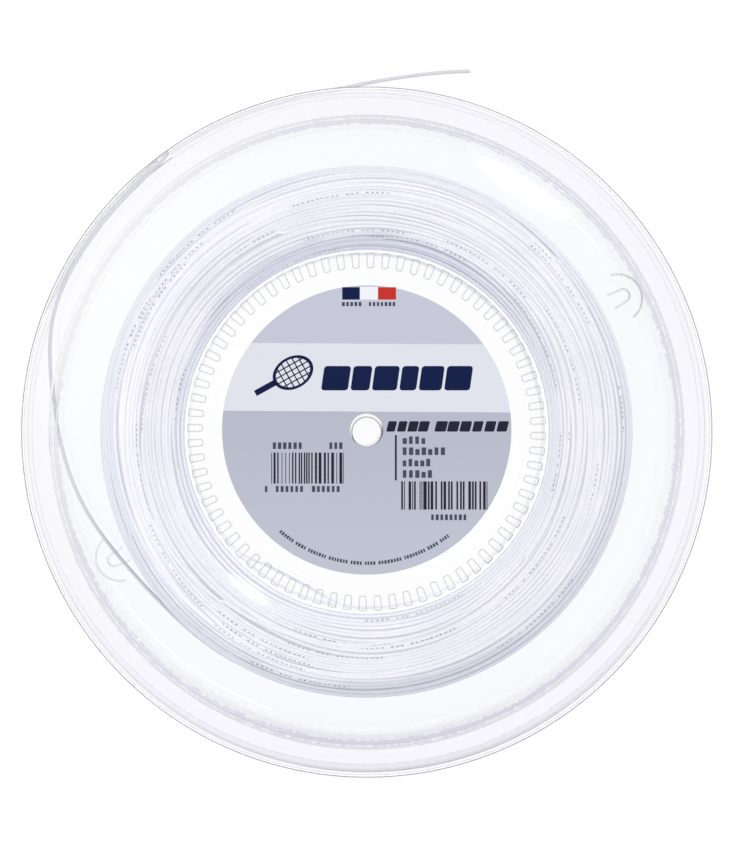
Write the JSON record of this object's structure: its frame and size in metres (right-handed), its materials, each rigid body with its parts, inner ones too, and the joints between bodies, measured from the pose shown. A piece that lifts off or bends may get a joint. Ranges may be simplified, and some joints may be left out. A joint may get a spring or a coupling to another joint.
{
  "type": "string reel",
  "caption": "Clear round reel of racket string: two moulded halves with a slatted barrel, a coil of monofilament, a split rim band and a round sticker.",
  "frame": {"origin": "on the spindle axis, midway between the two halves", "axes": "+Z along the spindle axis, out of the labelled front face; +Y up on the label, +X to its right"},
  "size_m": [0.24, 0.2476, 0.028],
  "materials": {
    "clear_flange": "clear moulded polystyrene, glossy",
    "clear_band": "clear flexible strip, glossy",
    "printed_label": "semi-matt printed paper sticker",
    "plain_label": "matt plain paper sticker",
    "string": "pearl white polyester monofilament, satin gloss"
  },
  "bodies": {
    "reel": {"front_flange": "clear_flange", "rear_flange": "clear_flange", "front_label": "printed_label", "rear_label": "plain_label", "string_winding": "string", "string_inner_end": "string"},
    "band": {"rim_band": "clear_band", "string_outer_run": "string"},
    "front_catch": {"front_catch_tongue": "clear_flange"},
    "rear_catch": {"rear_catch_tongue": "clear_flange"}
  },
  "joints": [
    {"name": "band_turn", "type": "hinge", "parent": "reel", "child": "band", "pos_m": [0, 0, 0], "axis": [0, 0, 1], "continuous": true},
    {"name": "front_catch_flex", "type": "hinge", "parent": "reel", "child": "front_catch", "pos_m": [0.08503, 0.04521, 0.0126], "axis": [0.4695, -0.8829, 0], "range_deg": [0, 12]},
    {"name": "rear_catch_flex", "type": "hinge", "parent": "reel", "child": "rear_catch", "pos_m": [-0.08565, -0.04402, -0.0126], "axis": [0.4571, -0.8894, 0], "range_deg": [0, 12]}
  ]
}
